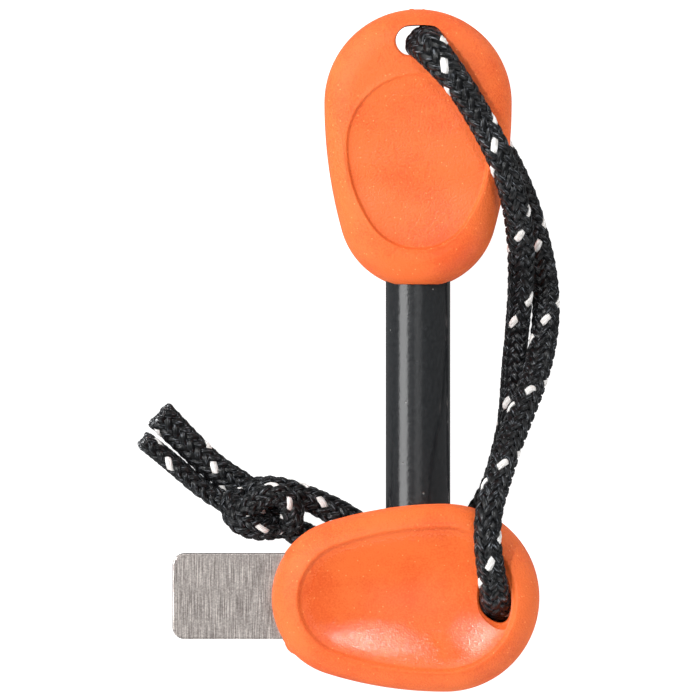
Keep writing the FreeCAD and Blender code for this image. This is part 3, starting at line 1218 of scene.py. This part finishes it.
FRONT_ROUTE: tuple[Point, ...] = (
    (0.0097, 0.0457, 0.0100),
    (0.0097, 0.0457, 0.01555),
    (0.0120, 0.0429, 0.0187),
    (0.0153, 0.0389, 0.0178),
    (0.0185, 0.0336, 0.0175),
    (0.0213, 0.0282, 0.0173),
    (0.0230, 0.0234, 0.0162),
    (0.0240, 0.0186, 0.0124),
    (0.0244, 0.0138, 0.0076),
    (0.0243, 0.0086, 0.0036),
    (0.0238, 0.0028, 0.0019),
    (0.0232, -0.0034, 0.0018),
    (0.0229, -0.0094, 0.0018),
    (0.0219, -0.0150, 0.0017),
    (0.0202, -0.0206, 0.0017),
    (0.0176, -0.0254, 0.0016),
    (0.0134, -0.0286, 0.0016),
    (0.0082, -0.0294, 0.0017),
    (0.0026, -0.0270, 0.0020),
    (-0.0026, -0.0240, 0.0022),
    (-0.0060, -0.0223, 0.0028),
    (-0.0092, -0.0209, 0.0038),
    (-0.0122, -0.0202, 0.0046),
    (-0.0149, -0.0204, 0.0040),
    (-0.0159, -0.0219, 0.0024),
    (-0.0146, -0.0243, 0.0017),
    (-0.0120, -0.0262, 0.0026),
    (-0.0095, -0.0257, 0.0050),
    (-0.0091, -0.0233, 0.0064),
    (-0.0107, -0.0212, 0.0072),
    (-0.0134, -0.0213, 0.0074),
    (-0.0155, -0.0228, 0.0070),
    (-0.0174, -0.0242, 0.0050),
    (-0.0161, -0.0248, 0.0024),
    (-0.0143, -0.0232, 0.0016),
    (-0.0152, -0.0207, 0.0018),
    (-0.0207, -0.0176, 0.0020),
    (-0.0247, -0.0137, 0.0019),
    (-0.0287, -0.0097, 0.0020),
)
CORD_FINISHES = (YARN, TRACER, MELT)
# A knot pulled tight presses the cord to this share of its size.
PRESSED = 0.84


@dataclass(frozen=True)
class Lay:
    """A cord's centreline and, at each of its points, how the cord lies there.

    Across and face are the ways across it and out of its face. Turns is the braid's phase. Size is the
    scale of the section.
    """

    line: np.ndarray
    across: np.ndarray
    face: np.ndarray
    turns: np.ndarray
    size: np.ndarray


@dataclass
class Braid:
    """One length of flattened sixteen-strand braid, laid along a route.

    Each strand goes over two and under two of those that cross it, and one strand is the tracer. A mark
    is a place on the table plan where the tracer crosses the middle of the cord's upper face, with the
    number of that turn, and face_turn sets the weave so that the tracer lies over the others there. Rolls
    and sizes are given by the number of the route's point: how far the face is rolled from upright, in
    degrees, and the scale of the section.
    """

    name: str
    route: tuple[Point, ...]
    length: float
    nodes: tuple[str, ...]
    exit: Point
    marks: tuple[Mark, ...]
    rolls: dict[int, float]
    sizes: dict[int, float]
    width: float = 4.2
    thickness: float = 2.9
    pitch: float = 12.4
    strands: int = 16
    yarn_width: float = 1.14
    yarn_height: float = 0.6
    yarn_sides: int = 6
    yarn_excess: float = 1.4
    weave: float = 0.19
    squareness: float = 1.7
    swell: float = 0.14
    slack: float = 0.07
    beats: tuple[Span, ...] = ((9.7, 2.3), (4.1, 5.9))
    step: float = 0.26
    spline_steps: int = 24
    spline_order: int = 3
    oval_count: int = 721
    core_inset: float = 0.75
    core_sides: int = 10
    core_every: int = 3
    face_turn: float = 1.5 / 16
    upright: float = 0.9
    steep: float = 0.75
    blur_reach: float = 1.5
    mark_reach: float = 1.0
    mark_search: float = 4.0
    spare_turns: int = 10
    beads: int = 30
    bead_insets: tuple[float, ...] = (0.1, 0.0, 0.45)
    bead_radii: Span = (0.26, 0.44)
    bead_detail: int = 2
    bead_scatter: float = 0.1
    bead_drift: Span = (-0.15, 0.5)
    seed: int = 5

    def centreline(self) -> tuple[np.ndarray, np.ndarray]:
        """Read the route's NURBS spline.

        Returns:
            Its points at even steps, in millimetres, and the place of each route point in their count.
        """
        curve = bpy.data.curves.new(self.name + "_line", "CURVE")
        curve.dimensions = "3D"
        curve.resolution_u = self.spline_steps
        spline = curve.splines.new("NURBS")
        spline.points.add(len(self.route) - 1)
        for point, place in zip(spline.points, self.route):
            point.co = (*place, 1.0)
        spline.order_u = self.spline_order
        spline.use_endpoint_u = True
        drawn = new_object(self.name + "_line", curve)
        points = np.array([v.co for v in evaluated_mesh(drawn).vertices]) / MM
        bpy.data.objects.remove(drawn)
        along = run_along(points)
        even = np.linspace(0.0, along[-1], int(along[-1] / self.step))
        spans = len(self.route) - 2
        shares = np.clip(np.arange(len(self.route)) - 0.5, 0, spans) / spans
        reached = np.interp(shares * (len(points) - 1), np.arange(len(points)), along)
        line = np.stack([np.interp(even, along, points[:, axis]) for axis in range(3)], axis=1)
        return line, reached / along[-1] * (len(even) - 1)

    def at_points(self, places: np.ndarray, values: dict[int, float], rest: float, count: int) -> np.ndarray:
        """Spread values given at some of the route's points along the line.

        Args:
            places: the route points' places in the line.
            values: a value for each numbered route point.
            rest: the value at the others.
            count: how many points the line has.

        Returns:
            A value for each point of the line.
        """
        given = [values.get(index, rest) for index in range(len(places))]
        return np.interp(np.arange(count), places, given)

    def sides(self, line: np.ndarray, roll: np.ndarray) -> tuple[np.ndarray, np.ndarray]:
        """Carry the cord's face along its line, upright wherever the line isn't steep.

        Args:
            line: the centreline.
            roll: how far the face is rolled from upright at each point, in degrees.

        Returns:
            The way across the cord and the way out of its face at each point.
        """
        ahead = unit(np.gradient(line, axis=0))
        face = np.zeros_like(line)
        up = np.array([0.0, 0.0, 1.0]) if abs(ahead[0, 2]) < self.upright else np.array([1.0, 0.0, 0.0])
        face[0] = unit(up - ahead[0] * (up @ ahead[0]))
        for i in range(1, len(line)):
            face[i] = unit(face[i - 1] - ahead[i] * (face[i - 1] @ ahead[i]))
        across = np.cross(ahead, face)
        level = np.abs(ahead[:, 2]) < self.steep
        lean = np.unwrap(np.arctan2(across[level, 2], face[level, 2]))
        where = np.arange(len(line))
        lean = np.interp(where, where[level], lean)
        blur = np.ones(2 * int(self.blur_reach / self.step) + 1)
        lean = np.convolve(np.pad(lean, len(blur) // 2, mode="edge"), blur / blur.sum(), mode="valid")
        lean += np.radians(roll)
        turned = face * np.cos(lean)[:, None] + across * np.sin(lean)[:, None]
        return np.cross(ahead, turned), turned

    def turns(self, line: np.ndarray) -> np.ndarray:
        """Find the braid's phase with which the tracer passes its marks.

        The middle of the cord's face is a quarter of the way round its section, so a mark's whole turn
        is moved by a quarter.

        Args:
            line: the centreline.

        Returns:
            The phase at each point, in turns.
        """
        along = np.arange(len(line)) * self.step
        places = []
        start = 0
        for x, y, _ in self.marks:
            away = np.linalg.norm(line[start:, :2] - np.array([x, y]) / MM, axis=1)
            near = np.flatnonzero(away < away.min() + self.mark_reach)[0]
            start += int(near + np.argmin(away[near : near + int(self.mark_search / self.step)]))
            places.append(along[start])
        whole = [number for _, _, number in self.marks]
        spare = self.spare_turns * self.pitch
        known = [places[0] - spare, *places, places[-1] + spare]
        turns = [whole[0] - self.spare_turns, *whole, whole[-1] + self.spare_turns]
        return np.interp(along, known, turns) - 0.25 + self.face_turn

    def section(self, share: np.ndarray) -> tuple[np.ndarray, np.ndarray]:
        """Find places on the braid's oval middle section.

        Args:
            share: the share of the way round for each.

        Returns:
            The places and the section's normals there.
        """
        inset = self.weave + self.yarn_height / 2
        half = np.array([self.width / 2 - inset, self.thickness / 2 - inset])
        dense = np.linspace(0.0, math.tau, self.oval_count)
        along = run_along(np.stack([np.cos(dense), np.sin(dense)], axis=1) * half)
        turn = np.interp(share % 1.0 * along[-1], along, dense)
        circle = np.stack([np.cos(turn), np.sin(turn)], axis=-1)
        return circle * half, unit(circle / half)

    def strand_rings(self, lay: Lay, strand: int) -> np.ndarray:
        """Make the rings of one strand's yarn as it weaves over and under.

        Args:
            lay: how the cord lies.
            strand: its number. The first half of them turn right and the others left.

        Returns:
            Rings for roll_grid().
        """
        each_way = self.strands // 2
        way = 1 if strand < each_way else -1
        number = strand % each_way
        share = number / each_way + way * lay.turns + self.face_turn
        cell = 2 * number + way * self.strands * lay.turns
        wave = np.tanh(self.squareness * np.cos(math.pi / 2 * (cell - 0.5)))
        wave = wave / math.tanh(self.squareness) * way
        place, normal = self.section(share)
        out = lay.across * normal[:, :1] + lay.face * normal[:, 1:]
        path = lay.line + (lay.across * place[:, :1] + lay.face * place[:, 1:]) * lay.size[:, None]
        path = path + out * (wave * self.weave)[:, None]
        plump = 1 - self.swell + self.swell * wave
        # Two waves out of step give each strand its own loose and tight stretches.
        beat = np.prod([np.sin(lay.turns * rate + start * strand) for rate, start in self.beats], axis=0)
        half_width = self.yarn_width / 2 * lay.size * plump * (1 + self.slack * beat)
        return sweep(path, out, half_width, self.yarn_height / 2 * plump, self.yarn_sides)

    def core_rings(self, lay: Lay) -> np.ndarray:
        """Make the rings of the dark core that fills the braid.

        Args:
            lay: how the cord lies.

        Returns:
            Rings for roll_grid().
        """
        size = lay.size[:: self.core_every]
        half_width = (self.width / 2 - self.core_inset) * size
        half_height = (self.thickness / 2 - self.core_inset) * size
        line = lay.line[:: self.core_every]
        return sweep(line, lay.face[:: self.core_every], half_width, half_height, self.core_sides)

    def melt(self, bm: bmesh.types.BMesh, lay: Lay) -> None:
        """Close the cut end with the beads that a hot knife leaves round its rim.

        Args:
            bm: the bmesh to build in.
            lay: how the cord lies.
        """
        chance = np.random.default_rng(self.seed)
        onward = lay.line[-1] - lay.line[-4]
        for row, inward in enumerate(self.bead_insets):
            for bead in range(self.beads):
                place, normal = self.section(np.array((bead + 0.5 * row) / self.beads))
                place = (place - normal * (inward - self.bead_scatter * chance.random())) * lay.size[-1]
                spot = lay.line[-1 - row % 2] + lay.across[-1] * place[0] + lay.face[-1] * place[1]
                spot = spot + onward * chance.uniform(*self.bead_drift)
                radius = chance.uniform(*self.bead_radii)
                made = bmesh.ops.create_icosphere(bm, subdivisions=self.bead_detail, radius=radius)["verts"]
                bmesh.ops.translate(bm, vec=spot, verts=made)
                for side in {f for v in made for f in v.link_faces}:
                    side.material_index = CORD_FINISHES.index(MELT)
                    side.smooth = True

    def map_yarns(self, cord: bpy.types.Object, length: float) -> None:
        """Turn the grids' map so that U is millimetres along each yarn and V the share of its girth.

        Args:
            cord: the braided cord.
            length: its length.
        """
        layer = cord.data.uv_layers["yarn"]
        flat = np.zeros(len(layer.data) * 2, np.float32)
        layer.data.foreach_get("uv", flat)
        flat = flat.reshape(-1, 2)[:, ::-1] * [length * self.yarn_excess, 1.0]
        layer.data.foreach_set("uv", flat.astype(np.float32).ravel())

    def build(self) -> bpy.types.Object:
        """Braid the cord, dress it and put it in place of its CAD nodes.

        Returns:
            The cord.
        """
        line, places = self.centreline()
        across, face = self.sides(line, self.at_points(places, self.rolls, 0.0, len(line)))
        size = self.at_points(places, self.sizes, 1.0, len(line))
        lay = Lay(line, across, face, self.turns(line), size)
        bm = bmesh.new()
        bm.loops.layers.uv.new("yarn")
        self.melt(bm, lay)
        for strand in range(self.strands):
            finish = TRACER if strand == self.strands // 2 else YARN
            roll_grid(bm, self.strand_rings(lay, strand), CORD_FINISHES.index(finish))
        roll_grid(bm, self.core_rings(lay))
        weld(bm)
        cord = new_object(self.name, mesh_from(self.name, bm))
        self.map_yarns(cord, len(line) * self.step)
        for finish in CORD_FINISHES:
            cord.data.materials.append(finish.material())
        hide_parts(*self.nodes)
        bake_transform(cord)
        LOG.info("%s is %.1f mm long", self.name, len(line) * self.step)
        return cord


@dataclass(frozen=True)
class Softbox:
    """A square soft light that faces the object: its place and side in metres, its power in watts."""

    name: str
    place: Point
    side: float
    power: float

    def build(self) -> None:
        """Hang the light where the camera doesn't see it."""
        lamp = bpy.data.lights.new(self.name, "AREA")
        lamp.size = self.side
        lamp.energy = self.power
        box = new_object(self.name, lamp)
        box.location = self.place
        box.rotation_euler = (-Vector(self.place)).to_track_quat("-Z", "Y").to_euler()
        box.visible_camera = False


@dataclass
class Studio:
    """White table, straight-down camera and soft lights, as in a catalogue picture.

    Lengths are in metres, and only the sensor's width is in millimetres. The sky is the world's strength.
    """

    picture_width: float = 0.1029
    picture_centre: Span = (-0.00081, 0.0)
    focus_height: float = 0.009
    camera_height: float = 3.0
    camera_reach: float = 50.0
    sensor: float = 36.0
    table_size: float = 8.0
    table_drop: float = 0.00005
    sky: float = 0.2
    lights: tuple[Softbox, ...] = (
        Softbox("window_far", (0.34, 0.68, 1.26), 0.12, 5.0),
        Softbox("window_left", (-0.68, 0.43, 1.16), 0.13, 12.5),
        Softbox("key_left", (-1.1, 0.2, 0.84), 0.8, 9.1),
        Softbox("overhead", (0.0, 0.0, 1.7), 0.7, 1.1),
        Softbox("fill_near_right", (0.8, -0.8, 0.22), 0.8, 5.4),
        Softbox("fill_near", (0.05, -1.05, 0.4), 0.5, 2.4),
        Softbox("fill_near_left", (-0.85, -0.7, 0.25), 0.6, 5.0),
        Softbox("fill_far_right", (0.8, 0.85, 0.22), 0.8, 4.6),
        Softbox("fill_far_left", (-0.85, 0.75, 0.25), 0.6, 4.0),
    )

    def build_table(self) -> None:
        """Lay the table, which casts no reflection in the object."""
        bm = bmesh.new()
        bmesh.ops.create_grid(bm, x_segments=1, y_segments=1, size=self.table_size / 2)
        bmesh.ops.translate(bm, vec=(0, 0, -self.table_drop), verts=bm.verts)
        table = new_object("table", mesh_from("table", bm, 1.0))
        table.data.materials.append(TABLE.material())
        table.visible_glossy = False

    def build_camera(self) -> None:
        """Hang the camera with the lens that frames the picture's width at the focus height."""
        eye = bpy.data.cameras.new("camera")
        eye.lens = self.sensor * (self.camera_height - self.focus_height) / self.picture_width
        eye.sensor_width = self.sensor
        eye.clip_end = self.camera_reach
        camera = new_object("camera", eye)
        camera.location = (*self.picture_centre, self.camera_height)
        bpy.context.scene.camera = camera

    def build_sky(self) -> None:
        """Add the faint even light of a white room."""
        world = bpy.data.worlds.new("studio")
        world.use_nodes = True
        tree = world.node_tree
        tree.nodes.clear()
        sky = add_node(tree, "Background", {"Color": linear("#ffffff"), "Strength": self.sky})
        add_node(tree, "OutputWorld", {"Surface": sky.outputs[0]})
        bpy.context.scene.world = world

    def build(self) -> None:
        """Set up the table, the camera and the lights."""
        self.build_table()
        self.build_camera()
        self.build_sky()
        for light in self.lights:
            light.build()
        bpy.context.scene.view_settings.view_transform = "Standard"


def build_handles() -> list[Handle]:
    """Set out both handles with their real sizes.

    Returns:
        The rod's handle and the striker's.
    """
    rod_handle = RodHandle(
        name="rod_grip",
        body="rod_unit",
        node="rod_handle_grip",
        egg=Egg(length=40.8, width=HANDLE_WIDTH, nose_radius=NOSE_RADIUS),
        dish=Egg(length=25.7, width=20.9, nose_radius=8.3, shift=(0.0, -9.5)),
        eye=Eye(inset=4.5, across=7.0, along=4.5, face_z=16.05, flare=0.35, shift=0.22),
        thickness=16.1,
        place=(9.185, 49.95, 0.0),
        turn=Turn.ALONG_Y,
        dish_depth=0.75,
        dish_hollow=0.35,
        dish_wall=0.45,
        dish_fade=0.55,
        dish_fade_turn=75.0,
        nubs=(Nub(direction=94.0, radius=0.7, proud=0.28), Nub(direction=86.5, radius=0.6, proud=0.22)),
        rubbing=0.35,
    )
    striker_eye = Eye(
        inset=6.5,
        across=7.2,
        along=4.4,
        face_z=9.45,
        flare=0.5,
        point=0.5,
        lean=0.9,
        flare_turn=-35.0,
        flare_bias=0.6,
    )
    striker_handle = Handle(
        name="striker_grip",
        body="striker",
        node="striker_handle_grip",
        egg=Egg(length=39.1, width=HANDLE_WIDTH, nose_radius=NOSE_RADIUS),
        dish=Egg(length=31.8, width=21.0, nose_radius=8.3, shift=(0.2, -3.4)),
        eye=striker_eye,
        thickness=11.5,
        place=(26.825, -36.3, 12.95),
        turn=Turn.ALONG_X,
        dish_depth=0.6,
        dish_hollow=2.4,
        dish_wall=0.8,
        nubs=(Nub(direction=-50.0, radius=2.2, proud=0.4),),
        bowl=2.0,
        edge_down=4.2,
    )
    return [rod_handle, striker_handle]


def build_lanyard() -> list[Braid]:
    """Set out both lengths of the lanyard, from the rod handle's eye to the two tails.

    Returns:
        The front length and the back one.
    """
    front = Braid(
        name="lanyard_front",
        route=FRONT_ROUTE,
        length=0.171,
        nodes=(
            "lanyard_rod_bight",
            "lanyard_left_strand",
            "lanyard_left_lead",
            "lanyard_tail_upper",
            "lanyard_knot",
        ),
        exit=(0.0100, 0.0455, 0.0155),
        sizes={
            **{0: 1.4, 1: 1.56, 2: 1.26, 3: 1.04},
            **{18: 1.06, 19: 1.16, 20: 0.98},
            **dict.fromkeys(range(21, 35), PRESSED),
            **{35: 0.95, 36: 1.03, 37: 1.06, 38: 1.16},
        },
        rolls={
            **{8: 15, 9: 30, 10: 38, 11: 38, 12: 36, 13: 30, 14: 30},
            **{17: 30, 18: 40, 19: 32, 20: 20},
        },
        marks=(
            (0.0132, 0.0418, 0),
            (0.0199, 0.0300, 1),
            (0.0239, 0.0175, 2),
            (0.0233, 0.0043, 3),
            (0.0226, -0.0076, 4),
            (-0.0056, -0.0229, 7),
            (-0.0098, -0.0224, 9),
            (-0.0209, -0.0174, 11),
        ),
    )
    back = Braid(
        name="lanyard_back",
        route=BACK_ROUTE,
        length=0.199,
        nodes=("lanyard_right_strand", "lanyard_striker_bight", "lanyard_tail_lower"),
        exit=(0.0100, 0.0455, 0.0050),
        sizes={
            **{0: 1.25, 1: 1.2, 2: 1.1},
            **{17: 1.05, 18: 1.12, 19: 1.14, 20: 1.08, 25: 1.1, 26: 1.0},
            **dict.fromkeys(range(27, 37), PRESSED),
            37: 0.92,
        },
        rolls={24: 35, 25: 32, 26: 20, 37: 50, 38: 75, 39: 78, 40: 80},
        marks=(
            (0.0267, 0.0154, 0),
            (0.0277, 0.0044, 1),
            (0.0250, -0.0063, 2),
            (0.0205, -0.0173, 3),
            (0.0193, -0.0312, 4),
            (-0.0141, -0.0260, 10),
            (-0.0297, -0.0144, 12),
        ),
    )
    return [front, back]


def main() -> None:
    """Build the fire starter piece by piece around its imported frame."""
    logging.basicConfig(level=logging.INFO, format="%(message)s")
    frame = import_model()
    Studio().build()
    for part in (*build_lanyard(), *build_handles()):
        made = part.build()
        LOG.info("%s has %d faces", made.name, len(made.data.polygons))
    for solid in (FerroRod().build(frame), *HandleCores().build(frame)):
        LOG.info("%s is dressed", solid.name)
    blade = StrikerBlade().build()
    LOG.info("%s has %d faces", blade.name, len(blade.data.polygons))


if __name__ == "__main__":
    main()
